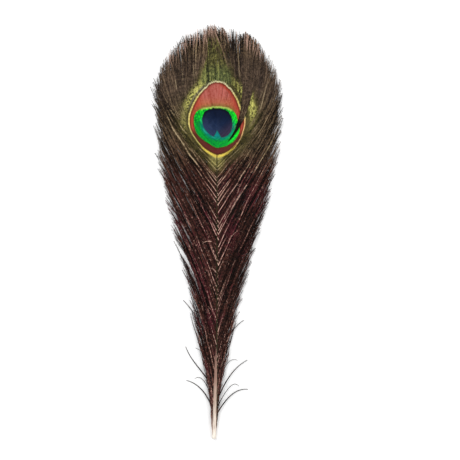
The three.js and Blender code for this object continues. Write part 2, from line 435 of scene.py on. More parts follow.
# The eye's colours, from the outside in. In each ease the last two numbers are where a change starts and
# where it is complete: millimetres for x, y, side and the three outlines, and shares of 1 for the rest.
def eyeMarks(tree, brown, x, y, chances):
    luck, lock, streak, sway, grain, fleck, shade, cloud, speckle = chances.values()
    ease, mix = tree.ease, tree.mix
    y = y + (luck - 0.5) * 0.6  # each barb's colours start a little early or late
    side = x.maths("ABSOLUTE", x)
    left = ease(x, 0, -5)
    right = ease(x, 0, 5)

    outline = roundShape(tree, x, y, eyeShapes["outline"])
    ringX, ringY = eyeShapes["ringMiddle"]
    ring = roundShape(tree, x - ringX, y - ringY, eyeShapes["ring"])
    pupilX, pupilY = eyeShapes["pupilMiddle"]
    pupil = roundShape(tree, x - pupilX, y - pupilY, eyeShapes["pupil"])
    patchy = streak * 0.3 + luck * 0.15 + lock * 0.15 + grain * 0.3 + fleck * 0.2 + speckle * 0.5
    mottle = streak * 0.3 + lock * 0.1 + grain * 0.3 + fleck * 0.3 + speckle * 0.9

    # outside: dark olive, then patches of yellow green on the shoulders
    gloom = ease(outline + 6 * sway, 4, 1.5) * ease(y, -16, -4) * (1 - 0.7 * right)
    halo = mix(gloom * 0.7, "olive", "darkOlive")
    band = ease(outline + 3 * sway - 2 * right, 1.5, 4)
    band = band * ease(outline + 5 * (grain - 0.5) - 4 * right, 9.5, 5.5)
    band = band * ease(y, -18, -3) * ease(y, 32, 20)
    band = band * (0.3 + 0.7 * ease(y + 6 * right, 3, 13))
    halo = mix(band * ease(mottle + 0.05 * left, 0.78, 1.02), halo, "yellowOlive")
    halo = mix(ease(mottle, 0.94, 0.8) * 0.75, halo, "darkOlive")
    edging = ease(outline, 1.5, 2.1) * ease(outline, 3.3, 2.6) * left * ease(y, 3, 12)
    halo = mix(edging * ease(grain, 0.3, 0.6) * 0.85, halo, "grey")

    # a green streak over the top, which fades into the fringe
    above = ease(y, 21, 27) * ease(y + 10 * (lock - 0.5) + 12 * (grain - 0.5), 72, 54)
    above = above * ease(side + 0.12 * y + 5 * sway, 18, 13)
    leaf = mix(ease(y, 31, 42), "leafGreen", "leafTop")
    leaf = mix(ease(patchy + 0.1 * left, 0.78, 1.05) * 0.35, leaf, "yellowOlive")
    leaf = mix(ease(patchy, 0.82, 0.62) * 0.75, leaf, "darkOlive")
    halo = mix(above, halo, leaf)
    halo = mix(ease(shade, 0.85, 0.5) * 0.7, halo, "dark")
    climb = ease(y, 12, 40) * ease(side, 20, 6) * 16
    climb = climb + 6 * right * ease(y, -6, 4) * ease(y, 26, 18)
    climb = climb + 12 * ease(y, 34, 52) * ease(side, 9, 4)
    edge = ease(outline - climb + 9 * sway + 5 * (luck - 0.5), 3, 11)
    colour = mix(edge, halo, brown)

    # yellow olive where the line runs down into the shaft
    foot = ease(y, -25, -29) * ease(y, -44, -31) * ease(side + 6 * sway, 7.5, 1.5)
    colour = mix(foot * (0.3 + 0.55 * ease(patchy, 0.6, 0.95)), colour, "dullYellow")

    # the pale line round the eye
    line = mix(ease(y, 13, 22), "creamYellow", "cream")
    line = mix(left * ease(y, -4, -12), line, "dullYellow")
    line = mix(right * ease(y, 2, -4), line, "pinkCream")
    line = mix(ease(y, -18, -24), line, "yellow")
    width = eyeShapes["outlineWidth"]
    tail = ease(y, -19, -29) * 1.2 - 0.35 * ease(y, -4, -12)
    # the pale line's edge is worn unevenly
    wearAndTipHighlight = 0.8 * sway + 0.4 * (luck - 0.5) + 1.4 * (speckle - 0.5)
    line = mix(ease(speckle, 0.5, 0.32) * 0.4, line, "olive")
    colour = mix(ease(outline + wearAndTipHighlight - tail, width, width * 0.55), colour, line)
    vein = ease(side, 0.5, 0.2) * ease(y, -27.6, -28.6)
    colour = mix(vein, colour, "darkOlive")

    # coral over the blue, red at the sides and maroon under it
    coral = mix(ease(y + 4 * sway, 17, 7), "coral", "orange")
    coral = mix(ease(patchy, 0.84, 0.64) * 0.6, coral, "red")
    coral = mix(ease(side, 8.5, 15) * 0.9, coral, "red")
    coral = mix(ease(y - 0.15 * x, -4, -11), coral, "maroon")
    flush = right * ease(outline, -3.2, -2) * ease(y, -16, -10)
    coral = mix(flush, coral, "red")
    rim = mix(ease(y, -8, -14), "redRim", "brownRim")
    coral = mix(ease(outline, -2, -0.5) * 0.85, coral, rim)
    coral = mix(ease(ring, 3.2, 0.6) * ease(y, 2, 6) * 0.55, coral, "overRing")
    dim = ease(luck + 0.3 * streak, 0.86, 1) * ease(y, 8, 15) * (0.25 + 0.4 * right)
    coral = mix(dim, coral, "redRim")
    colour = mix(ease(outline, 0.2, -0.3), colour, coral)

    # the green ring, bright at its shoulders, with a lime line over the top
    green = mix(ease(y, -2, -12), "green", "greenLow")
    green = mix(ease(x, 6, 13), green, "greenBright")
    green = mix(ease(patchy, 0.84, 0.68) * 0.75, green, "greenDark")
    glint = ease(patchy, 0.78, 0.95) * ease(y, -9, 0) * left
    green = mix(glint * 0.9, green, "greenBright")
    dull = ease(patchy, 0.86, 0.7) * ease(y, -2, -8)
    green = mix(dull * 0.12, green, "teal")
    green = mix(ease(pupil, 3.4, 0.4) * ease(y, 0, -8) * 0.9, green, "teal")
    cyan = ease(pupil, 1.5, 0.8) * ease(pupil, 0, 0.5) * ease(x, 1, -4)
    cyan = cyan * ease(cloud, 0.36, 0.56)
    green = mix(cyan * ease(y, 1, -6) * 0.8, green, "cyan")
    lime = ease(ring, -1.7, -0.9) * ease(y, 3, 5.5) * ease(side, 13, 9.5)
    green = mix(lime, green, "lime")
    shadow = ease(ring, 1.3, 0.3) * ease(y, 4, 0)
    colour = mix(shadow * 0.8, colour, rim)
    colour = mix(ease(ring, 0.25, -0.25), colour, green)

    # the blue spot, with a notch in its lower edge
    notchX, notchY = eyeShapes["notch"]
    notch = x.maths("ABSOLUTE", x - notchX) * eyeShapes["notchSlope"] + y - notchY
    paler = ease(0.45 * cloud + 0.3 * fleck - 0.03 * (x + y), 0.3, 1)
    blue = mix(paler * 0.8, "pupil", "pupilPale")
    blue = mix(ease(y, -6, 3) * 0.45, blue, "pupilRim")
    blue = mix(ease(x * 0.8 - y, 8, 19), blue, "pupilLow")
    blue = mix(ease(pupil, -2.4, -0.2) * ease(y, -5, 4), blue, "pupilRim")
    hollow = ease(notch, 0.6, -2.6) * ease(pupil, 0.6, -1.5)
    colour = mix(hollow * ease(pupil, 0.6, -0.4), colour, "notch")
    inside = ease(pupil, 0.3, -0.3) * ease(notch, -0.3, 0.3)
    colour = mix(inside, colour, blue)

    # each barb a little lighter or darker
    depth = 0.2 + 0.3 * luck + 0.26 * streak + 0.14 * lock + 0.3 * grain + 0.2 * fleck + 0.36 * speckle
    depth = tree.vector(depth, depth, depth)
    return tree.add("ShaderNodeMix", {"data_type": "RGBA", "blend_type": "MULTIPLY"},
                    {0: 1, 6: colour, 7: depth}, output=2)


# a tree of nodes that dresses each barb's line with its rib and barbules
def growBarbs(material):
    group = bpy.data.node_groups.new("growBarbs", "GeometryNodeTree")
    face = group.interface
    face.new_socket("Geometry", in_out="INPUT", socket_type="NodeSocketGeometry")
    for title in ("Rib thickness", "Barbule spacing", "Barbule width", "Barbule angle", "Unevenness"):
        face.new_socket(title, in_out="INPUT", socket_type="NodeSocketFloat")
    face.new_socket("Seed", in_out="INPUT", socket_type="NodeSocketInt")
    face.new_socket("Geometry", in_out="OUTPUT", socket_type="NodeSocketGeometry")
    tree = Tree(group)
    asked = tree.add("NodeGroupInput")

    def named(title):
        return tree.add("GeometryNodeInputNamedAttribute", {"data_type": "FLOAT"}, {"Name": title})

    def store(geometry, title, value):
        return tree.add("GeometryNodeStoreNamedAttribute", {"data_type": "FLOAT", "domain": "POINT"},
                        {"Geometry": geometry, "Name": title, "Value": value})

    def turned(geometry, turn):
        return tree.add("GeometryNodeTransform", values={"Geometry": geometry, "Rotation": turn})

    def scaled(geometry, *sizes):
        size = tree.vector(*sizes)
        return tree.add("GeometryNodeTransform", values={"Geometry": geometry, "Scale": size})

    lines = tree.add("GeometryNodeMeshToCurve", values={"Mesh": asked})
    lines = tree.add("GeometryNodeSetCurveNormal", {"mode": "Z_UP"}, {"Curve": lines})
    lines = tree.add("GeometryNodeSetCurveTilt", values={"Curve": lines, "Tilt": named("roll")})
    place = tree.add("GeometryNodeInputPosition")
    aside = tree.parts(place)

    # the rib is a flattened diamond in section
    section = tree.add("GeometryNodeCurvePrimitiveCircle", values={"Resolution": 4, "Radius": 1.0})
    section = scaled(section, 1.0, asked.other("Rib thickness"), 1.0)
    section = store(section, "across", aside * 0.5)
    rib = tree.add("GeometryNodeCurveToMesh", values={"Curve": lines, "Profile Curve": section,
                                                      "Scale": named("halfWidth"), "Fill Caps": True})
    rib = store(rib, "blade", 0.0)
    rib = store(rib, "forward", 0.0)

    # a barbule is a thin three-sided blade. Two of them, one on each side, stand at every step.
    cone = tree.add("GeometryNodeMeshCone", {"fill_type": "NONE"},
                    {"Vertices": 3, "Radius Top": 0.0, "Radius Bottom": 1.0, "Depth": 1.0})
    blade = scaled(turned(cone, (0, 0, 0.35)), asked.other("Barbule width"), 0.06 * mm, 1.0)
    blade = turned(blade, (-math.pi / 2, 0, 0))
    pair = []
    for side in (-1, 1):
        spread = tree.vector(0.0, 0.0, asked.other("Barbule angle") * -side)
        pair.append(turned(blade, tree.add("FunctionNodeEulerToRotation", values=[spread])))
    barbules = tree.add("GeometryNodeJoinGeometry", values={"Geometry": pair})
    barbules = store(barbules, "across", aside * 1.4)
    barbules = store(barbules, "forward", aside.other("Y"))

    steps = tree.add("GeometryNodeCurveToPoints", {"mode": "LENGTH"},
                     {"Curve": lines, "Length": asked.other("Barbule spacing")})
    standing = tree.add("FunctionNodeAxesToRotation", {"primary_axis": "Y", "secondary_axis": "X"},
                        {0: steps.other("Tangent"), 1: steps.other("Normal")})
    uneven = asked.other("Unevenness")
    seed = asked.other("Seed")

    def chance(extra):
        # a random number round 0, as large as the unevenness
        return tree.add("FunctionNodeRandomValue", {"data_type": "FLOAT"},
                        {2: uneven * -1, 3: uneven, "Seed": seed + extra}, output=1)

    wobble = tree.vector(chance(1), chance(2) * 1.6, chance(3))
    wobble = tree.add("FunctionNodeEulerToRotation", values=[wobble])
    standing = tree.add("FunctionNodeRotateRotation", {"rotation_space": "LOCAL"}, [standing, wobble])
    bare = 0.05 * mm  # no barbules where they would be shorter than this
    grown = named("barbule").maths("GREATER_THAN", named("barbule"), bare)
    long = named("barbule") * (1 + chance(4))
    size = tree.vector(long, long, 1.0)
    bristles = tree.add("GeometryNodeInstanceOnPoints",
                        values={"Points": steps, "Selection": grown, "Instance": barbules,
                                "Rotation": standing, "Scale": size})
    bristles = tree.add("GeometryNodeRealizeInstances", values={"Geometry": bristles})
    bristles = store(bristles, "blade", 1.0)
    whole = tree.add("GeometryNodeJoinGeometry", values={"Geometry": [rib, bristles]})
    whole = tree.add("GeometryNodeRealizeInstances", values={"Geometry": whole})
    whole = tree.add("GeometryNodeSetMaterial", values={"Geometry": whole, "Material": material})
    tree.add("NodeGroupOutput", values=[whole])
    return group


def newObject(name, data):
    made = bpy.data.objects.new(name, data)
    bpy.context.scene.collection.objects.link(made)
    return made


def evenShares(lines):
    # 0 at each barb's root and 1 at its tip
    rows, count = lines.shape[:2]
    return np.broadcast_to(np.linspace(0, 1, count), (rows, count))


def plant(name, lines, traits, group, settings, bladeShare=0.01):
    # lines are rows of barbs, and traits give numbers for each barb or for each of its points. The
    # barbs come back as a plain mesh.
    rows, count, _ = lines.shape
    mesh = bpy.data.meshes.new(name + "Lines")
    mesh.vertices.add(rows * count)
    mesh.edges.add(rows * (count - 1))
    mesh.vertices.foreach_set("co", (lines * mm).ravel())
    starts = (np.arange(rows)[:, None] * count + np.arange(count - 1)).ravel()
    mesh.edges.foreach_set("vertices", np.stack([starts, starts + 1], axis=1).ravel())
    plain = {"share": evenShares(lines), "mark": lines, "luck": 1, "lock": 0,
             "row": np.arange(rows)[:, None], "roll": 0, "halfWidth": 0, "barbule": 0}
    for title, values in {**plain, **traits}.items():
        unit = mm if title in ("mark", "halfWidth", "barbule") else 1
        kind, slot, shape = "FLOAT", "value", (rows, count)
        if title == "mark":
            kind, slot, shape = "FLOAT_VECTOR", "vector", (rows, count, 3)
        layer = mesh.attributes.new(title, kind, "POINT")
        layer.data.foreach_set(slot, np.broadcast_to(values * unit, shape).astype(float).ravel())
    source = newObject(name + "Lines", mesh)
    grow = source.modifiers.new("grow", "NODES")
    grow.node_group = group
    for item in group.interface.items_tree:
        if item.in_out == "INPUT" and item.name in settings:
            grow[item.identifier] = settings[item.name]
    settled = bpy.context.evaluated_depsgraph_get()
    grown = bpy.data.meshes.new_from_object(source.evaluated_get(settled), depsgraph=settled)
    bpy.data.objects.remove(source)
    bpy.data.meshes.remove(mesh)
    grown.name = name
    piece = newObject(name, grown)
    finishBarbs(piece, rows, bladeShare)
    return piece


def readAll(items, title, kind=np.float32, width=1):
    values = np.zeros(len(items) * width, kind)
    items.foreach_get(title, values)
    return values


# the least height over the table, and how far barbs may stand over the solid's top
clearance = {"table": 0.03, "top": 0.1}

# the map that the finish is kept on: its empty edge, a barb's length and half its width in its strip
barbMap = {"edge": 0.01, "length": 0.96, "halfWidth": 0.42}


def finishBarbs(piece, rows, bladeShare):
    # nothing hangs under the surface, and each barb gets a strip of its own in the map: tops in the
    # lower half and undersides in the upper. A barbule takes up bladeShare of its barb's length.
    mesh = piece.data
    places = readAll(mesh.vertices, "co", width=3).reshape(-1, 3)
    places[:, 2] = np.clip(places[:, 2], clearance["table"] * mm, cadBox[1][2] + clearance["top"] * mm)
    mesh.vertices.foreach_set("co", places.ravel())
    mesh.update()

    def trait(title):
        return readAll(mesh.attributes[title].data, "value")

    corners = readAll(mesh.loops, "vertex_index", np.int32)
    sizes = readAll(mesh.polygons, "loop_total", np.int32)
    normals = readAll(mesh.polygons, "normal", width=3).reshape(-1, 3)
    below = np.repeat(normals[:, 2] < 0, sizes)
    length = trait("share") + bladeShare * trait("forward")
    strip = trait("row") + 0.5 + barbMap["halfWidth"] * np.clip(trait("across"), -1, 1)
    flat = np.stack([barbMap["edge"] + barbMap["length"] * length[corners],
                     (strip[corners] / rows + below) / 2], axis=1)
    layer = mesh.uv_layers.new(name="OFBake")
    layer.data.foreach_set("uv", flat.astype(np.float32).ravel())
    for title in ("forward", "row", "roll", "halfWidth", "barbule"):
        mesh.attributes.remove(mesh.attributes[title])
    print(piece.name, len(mesh.loops) - 2 * len(mesh.polygons), "triangles")


# the barbs round the eye, which run on as the fringe over it
eyeBarbs = {
    "perSide": 165,
    "steps": 26,
    # by a barb's place in its row, 0 at the middle of the fringe and 1 at the side: the height of its
    # root, and the angles from the shaft that it leaves it at and ends at
    "stations": {
        "at": [0, 0.12, 0.3, 0.5, 0.75, 1],
        "roots": [246, 234, 222, 213, 207, 203],
        "leaves": [0, 30, 50, 57, 54, 48],
        "ends": [0, 1, 4, 7, 11, 14],
    },
    "cross": 0.2,  # both sides' roots meet over the shaft
    "rootLift": 0.05,
    "centre": -3,  # the vane's middle, up the feather from the eye's
    "zipped": (25, 34),  # from the vane's middle: where the barbs stop being zipped together
    "overlap": 1.15,  # of their widths, as far as they are zipped
    "loose": (0.45, 0.95),  # by share of its length: where a barb leaves its place in the vane
    "lift": 0.25,  # over the lower fringe
    "tipHeights": (0.5, 1.6, 0.5),  # the least, then what a clump and a barb may add
    "fringeHalfWidth": 0.17,
    "barbule": 0.85,
    "ragged": 0.13,
    "clump": 4,
    "clumpPull": 0.3,
    "clumpShare": 0.35,  # of how unevenly the tips end, the rest is each barb's own
    "rowScatter": 0.012,
    "endScatter": 13,
    "bladeShare": 0.015,
    "nodes": {"Rib thickness": 0.35, "Barbule spacing": 0.36 * mm, "Barbule width": 0.3,
              "Barbule angle": 0.7, "Unevenness": 0.25, "Seed": 3},
    # the split in the vane: its side, its place in the row, how far it opens sideways, how much of that
    # down, by share of a barb's length where, and by place in the row beyond it where and how far it closes
    "split": {"side": 1, "at": 0.44, "shift": 1.9, "down": 0.4, "opens": (0.12, 0.45),
              "closes": (0.06, 0.35), "closed": 0.7},
    # barbs in the middle of the fringe lean together: by place in the row, where they stand and how far
    # to each side, then where across the feather they lean to, the least and most that they do, and
    # from which share of their length
    "lean": {"middle": 0.03, "halfWidth": 0.34, "to": -7, "pull": (0.15, 0.85), "from": 0.4},
}


def smooth(value, start, end):
    t = np.clip((value - start) / (end - start), 0, 1)
    return t * t * (3 - 2 * t)


def fan(title, even):
    return along(eyeBarbs["stations"], title, even)


def fanRoot(even, side):
    # a point on top of the shaft, for a barb by its place in the row
    at = fan("roots", even)
    root = shaftPoint(at)
    root[:, 0] -= side * eyeBarbs["cross"]
    root[:, 2] += along(shaftStations, "radius", at) + eyeBarbs["rootLift"]
    return root


def fanTip(even, side, reach):
    turn = np.radians(feather["fanHalfAngle"] * even)
    x = side * reach * feather["fanHalfWidth"] * np.sin(turn)
    middle = feather["fanMiddle"] - feather["eyeHeight"]
    rise = reach * (feather["length"] - feather["fanMiddle"]) * np.cos(turn)
    return np.stack([x, middle + rise, feather["fanTipHeight"] + 0 * x], axis=-1)


def spacing(lines):
    # the distance to the next barb, at each point
    forward = np.gradient(lines[:, :, :2], axis=1)
    forward /= np.linalg.norm(forward, axis=-1, keepdims=True)
    step = np.gradient(lines[:, :, :2], axis=0)
    return np.abs(step[:, :, 0] * forward[:, :, 1] - step[:, :, 1] * forward[:, :, 0])


clumpSpread = 1.5  # how many places in the row a barb may be from its clump


def gather(places, size, rng):
    # barbs in a row fall into clumps: each one's clump, a random number for each clump, and the middle
    # of each barb's clump
    rows = len(places)
    strayed = np.arange(rows) + rng.uniform(-clumpSpread, clumpSpread, rows)
    clump = np.floor(strayed / size).astype(int)
    clump -= clump.min()
    moods = rng.uniform(0, 1, clump.max() + 1)
    middles = np.array([places[clump == k].mean() if (clump == k).any() else 0 for k in range(len(moods))])
    return clump, moods, middles[clump]


def tipHeights(size, moods, pick, rng):
    # some clumps end higher over the table than others
    least, byClump, byBarb = size["tipHeights"]
    return least + byClump * moods[pick % len(moods)] + rng.uniform(0, byBarb, len(pick))


def fromVane(lines):
    # each point's distance from the middle of the zipped vane
    return np.hypot(lines[:, :, 0], lines[:, :, 1] - eyeBarbs["centre"])


def makeEyeBarbs(name, side, seed, group):
    rng = np.random.default_rng(seed)
    size = eyeBarbs
    rows = size["perSide"]
    even = (np.arange(rows) + 0.5) / rows
    root = fanRoot(even, side)
    leaves = fan("leaves", even)
    ends = fan("ends", even)
    mark = barbLines(root, fanTip(even, side, 1.0), side, leaves, ends, size["steps"])

    # tips gather in clumps and end unevenly, and the zipped part stays where it is
    clump, moods, middle = gather(even, size["clump"], rng)
    pull = size["clumpPull"] * smooth(even, 0.0, 0.15)  # none in the middle, so that both sides meet
    gathered = even + pull * (middle - even) + rng.normal(0, size["rowScatter"], rows)
    shared = size["clumpShare"]
    uneven = shared * moods[clump] + (1 - shared) * rng.uniform(0, 1, rows) ** 1.4
    tip = fanTip(gathered, side, 1 - size["ragged"] * uneven)
    tip[:, 2] = tipHeights(size, moods, clump * 3, rng)
    loose = barbLines(root, tip, side, leaves, ends + rng.normal(0, size["endScatter"], rows), size["steps"])
    share = evenShares(mark)
    free = smooth(share, *size["loose"])[:, :, None]
    lines = mark + (loose - mark) * free
    lines[:, :, 2] += size["lift"]
    lean = size["lean"]
    caught = 1 - smooth(np.abs(side * even - lean["middle"]), 0.5 * lean["halfWidth"], lean["halfWidth"])
    shift = rng.uniform(*lean["pull"], rows) * caught * (lean["to"] - tip[:, 0])
    bent = np.clip((share - lean["from"]) / (1 - lean["from"]), 0, 1) ** 1.2
    lines[:, :, 0] += shift[:, None] * bent

    # at a split the barbs below it lie a little further out
    split = size["split"]
    if side == split["side"]:
        apart = (even > split["at"])[:, None] * smooth(share, *split["opens"])
        closes = [split["at"] + beyond for beyond in split["closes"]]
        apart = apart * (1 - split["closed"] * smooth(even, *closes)[:, None])
        lines[:, :, 0] += side * split["shift"] * apart
        lines[:, :, 1] -= split["down"] * split["shift"] * apart

    zipped = 1 - smooth(fromVane(mark), *size["zipped"])
    taper = 1 - smooth(share, 0.85, 1.0)
    vane = 0.5 * size["overlap"] * spacing(mark) + 0.04
    fringe = size["fringeHalfWidth"] * (0.35 + 0.65 * taper)
    return plant(name, lines, {
        "mark": mark,
        "luck": rng.uniform(0, 1, rows)[:, None],
        "lock": moods[clump][:, None],
        "roll": side * 0.2 * zipped + rng.normal(0, 0.4, rows)[:, None] * (1 - zipped),
        "halfWidth": fringe + (vane - fringe) * zipped,
        "barbule": size["barbule"] * (1 - zipped) * (0.45 + 0.55 * taper),
    }, group, size["nodes"], size["bladeShare"])


# darker barbs under the fringe, which show between its tips
lowerFringe = {
    "perSide": 90,
    "halfWidth": 0.48,
    "ragged": (0.06, 0.22),
    "sink": 0.35,
    "endScatter": 2.5,
    "free": (22, 30),  # from the vane's middle: thin up to here, and full from there
    "luck": (0, 0.6),
    "nodes": {"Rib thickness": 0.15, "Barbule spacing": 1.6 * mm, "Barbule width": 0.4,
              "Barbule angle": 0.6, "Unevenness": 0.3, "Seed": 5},
}


def makeLowerFringe(name, seed, group):
    rng = np.random.default_rng(seed)
    size = lowerFringe
    rows = 2 * size["perSide"]
    even = np.linspace(1, -1, rows)  # from one side over the top to the other
    side = np.sign(even)
    even = np.abs(even)
    root = fanRoot(even, side)
    tip = fanTip(even, side, 1 - rng.uniform(*size["ragged"], rows))
    ends = fan("ends", even) + rng.normal(0, size["endScatter"], rows)
    lines = barbLines(root, tip, side, fan("leaves", even), ends, eyeBarbs["steps"])
    lines[:, :, 2] -= size["sink"]
    free = smooth(fromVane(lines), *size["free"])
    taper = 1 - 0.8 * smooth(evenShares(lines), 0.85, 1.0)
    return plant(name, lines, {
        "luck": rng.uniform(*size["luck"], rows)[:, None],
        "lock": rng.uniform(0, 1, rows)[:, None],
        "roll": rng.normal(0, 0.2, rows)[:, None],
        "halfWidth": size["halfWidth"] * (0.1 + 0.9 * free) * taper,
        "barbule": free,
    }, group, size["nodes"], eyeBarbs["bladeShare"])


# brown barbs that have come over the right side of the eye, along the split
strayBarbs = {
    "count": 36,
    "roots": (0.55, 0.58),  # their places in the row, at the shaft and at the tip
    "tips": (0.34, 0.56),
    "ragged": 0.06,
    "rootLift": 0.2,
    "lift": 0.55,  # and this much more beyond these shares of their length
    "lifted": (0.08, 0.3),
    "luck": (0, 0.95),
    "darkest": -1.3,  # the luck of their dark lower ends
    "dark": (0.24, 0.38),  # by share of their length: up to here they are dark, and not from there
    "halfWidth": 0.22,
    "barbule": 0.75,
    "markAside": 52,  # their pattern is taken from beside the eye, so they carry only the fringe's brown
}


def makeStrayBarbs(name, seed, group):
    rng = np.random.default_rng(seed)
    size = strayBarbs
    side = eyeBarbs["split"]["side"]
    rows = size["count"]
    start = np.linspace(*size["roots"], rows)
    end = np.linspace(*size["tips"], rows)
    tip = fanTip(end, side, 1 - size["ragged"] * rng.uniform(0, 1, rows))
    root = fanRoot(start, side)
    lines = barbLines(root, tip, side, fan("leaves", start), fan("ends", end), eyeBarbs["steps"])
    share = evenShares(lines)
    lines[:, :, 2] += size["lift"] * smooth(share, *size["lifted"]) + size["rootLift"]
    clear = smooth(share, *size["dark"])
    return plant(name, lines, {
        "mark": lines + np.array([size["markAside"], 0, 0]),
        "luck": rng.uniform(*size["luck"], rows)[:, None] * clear + size["darkest"] * (1 - clear),
        "roll": rng.normal(0, 0.3, rows)[:, None],
        "halfWidth": size["halfWidth"] * smooth(share, 0.1, 0.4) * (1 - 0.6 * smooth(share, 0.8, 1.0)),
        "barbule": size["barbule"] * smooth(share, 0.2, 0.5),
    }, group, eyeBarbs["nodes"], eyeBarbs["bladeShare"])


# the body's loose barbs
bodyBarbs = {
    "between": (24, 203),  # the heights of the lowest and the highest root
    "perSide": 175,
    "steps": 34,
    "crowding": 0.78,  # under 1, roots stand closer together towards the eye
    "halfWidth": 0.25,
    "barbule": 1.0,
    "ragged": 0.18,
    "clump": 5,
    "clumpPull": 0.5,
    "clumpTurn": 14,  # how far clumps differ in the angle that they end at
    "scatter": {"at": 0.3, "points": 0.8, "leaves": 1.2, "ends": 4, "roll": 0.4},
    "overShaft": (32, 80),  # by height: roots are on the shaft's flank up to here, and over it from there
    "tipHeights": (0.4, 2.6, 1.0),
    "wave": 0.6,
    "curl": 0.3,
    "sink": 0,
    "luck": (0, 0.78),  # pale streaks, the ribs' tan with a painted highlight, are on the luckiest
    "pale": 0.85,  # how far the first barb of a clump is made paler, which gives it more painted highlight
    "paleShare": 0.6,  # the share of clumps that have such a barb
    "palerAt": (160, 180),  # twice as many of them from here up, under the eye
    "nodes": {"Rib thickness": 0.35, "Barbule spacing": 0.62 * mm, "Barbule width": 0.3,
              "Barbule angle": 0.6, "Unevenness": 0.35, "Seed": 11},
}

# wider ones under them, which show between them, painted darker as the shade that falls under the upper
# barbs
lowerBarbs = {
    **bodyBarbs,
    "perSide": 100,
    "halfWidth": 0.6,
    "barbule": 0.9,
    "ragged": 0.2,
    "clumpPull": 0.2,
    "curl": 0.2,
    "sink": 0.6,
    "luck": (-0.7, 0.3),  # under 0 is darkest: painted shade on this lower layer
    "pale": 0,
    "paleShare": 0,
    "nodes": {"Rib thickness": 0.15, "Barbule spacing": 2.4 * mm, "Barbule width": 0.4,
              "Barbule angle": 0.6, "Unevenness": 0.35, "Seed": 13},
}

# short, pale, reddish ones beside the quill
quillBarbs = {
    **bodyBarbs,
    "between": (3, 26),
    "perSide": 30,
    "crowding": 1,
    "halfWidth": 0.24,
    "barbule": 0.5,
    "ragged": 0.35,
    "clump": 4,
    "clumpPull": 0.4,
    "curl": 0.35,
    "luck": (0.2, 0.9),
    "pale": 0,
    "paleShare": 0,
    "nodes": {"Rib thickness": 0.35, "Barbule spacing": 0.8 * mm, "Barbule width": 0.3,
              "Barbule angle": 0.5, "Unevenness": 0.35, "Seed": 19},
}


def makeBodyBarbs(name, side, seed, group, size):
    rng = np.random.default_rng(seed)
    rows = size["perSide"]
    even = np.linspace(0, 1, rows) ** size["crowding"]
    lowest, highest = size["between"]
    scatter = size["scatter"]
    at = lowest + (highest - lowest) * even + rng.normal(0, scatter["at"], rows)
    clump, moods, middle = gather(at, size["clump"], rng)

    # roots lie over the top of the shaft near the eye, and on its flank near the quill
    over = smooth(at, *size["overShaft"])
    root = shaftPoint(at)
    radius = along(shaftStations, "radius", at)
    root[:, 0] += side * radius * (0.75 - 0.85 * over)
    root[:, 2] += radius * (0.5 + 0.55 * over) + 0.1 * over

    def reachTip(at, points, reach):
        return shaftPoint(at) + heading(points, side) * reach[:, None]

    # each tip is pulled towards the tip of the barb in the middle of its clump
    mood = moods[clump]
    points = along(bodyStations, "points", at) + rng.normal(0, scatter["points"], rows)
    reach = along(bodyStations, "reach", at) * (1 - size["ragged"] * (rng.uniform(0, 1, rows) - 0.3))
    own = reachTip(at, points, reach)
    longer = 1 + size["ragged"] * (moods[(clump * 7 + 3) % len(moods)] - 0.6)
    shared = reachTip(middle, along(bodyStations, "points", middle) + 3 * (mood - 0.5),
                      along(bodyStations, "reach", middle) * longer)
    pull = size["clumpPull"] * rng.uniform(0.5, 1.3, rows)[:, None]
    tip = own + pull * (shared - own)
    tip[:, 2] = tipHeights(size, moods, clump * 5, rng)
    leaves = along(bodyStations, "leaves", at) + rng.normal(0, scatter["leaves"], rows)
    ends = along(bodyStations, "ends", at) + size["clumpTurn"] * (mood - 0.5)
    ends += rng.normal(0, scatter["ends"], rows)
    lines = barbLines(root, tip, side, leaves, ends, size["steps"])
    share = evenShares(lines)

    # a slight wave, different in each barb, more towards the tip
    def ripple(fewest, most):
        turns = share * rng.uniform(fewest, most, rows)[:, None]
        return np.sin(turns + rng.uniform(0, 6.3, rows)[:, None])

    wave = ripple(4, 8)
    curl = ripple(16, 30)
    lines[:, :, 0] += size["wave"] * wave * share**1.5 + size["curl"] * curl * smooth(share, 0, 0.2)
    lines[:, :, 2] += 0.5 * np.sin(math.pi * share) * rng.uniform(-1, 1.2, rows)[:, None] - size["sink"]

    # the first barb of many clumps is paler, with more painted highlight along its rib, a little wider and
    # lies on top
    luck = rng.uniform(*size["luck"], rows)
    first = np.unique(clump, return_index=True)[1]
    chance = size["paleShare"] * (1 + smooth(at[first], *size["palerAt"]))
    first = first[rng.uniform(0, 1, len(first)) < chance]
    luck[first] += size["pale"] * (1 - luck[first])
    lines[first, :, 2] += 0.15 * size["pale"]
    width = np.full(rows, size["halfWidth"])
    width[first] *= 1 + 0.5 * size["pale"]
    taper = 1 - smooth(share, 0.75, 1.0)
    start = 0.35 + 0.65 * smooth(share, 0.0, 0.06)
    return plant(name, lines, {
        "luck": luck[:, None],
        "lock": mood[:, None],
        "roll": rng.normal(0, scatter["roll"], rows)[:, None] + 0.5 * wave * share,
        "halfWidth": width[:, None] * (0.45 + 0.55 * (1 - share)) * (0.5 + 0.5 * taper),
        "barbule": size["barbule"] * start * (0.65 + 0.35 * taper),
    }, group, size["nodes"])


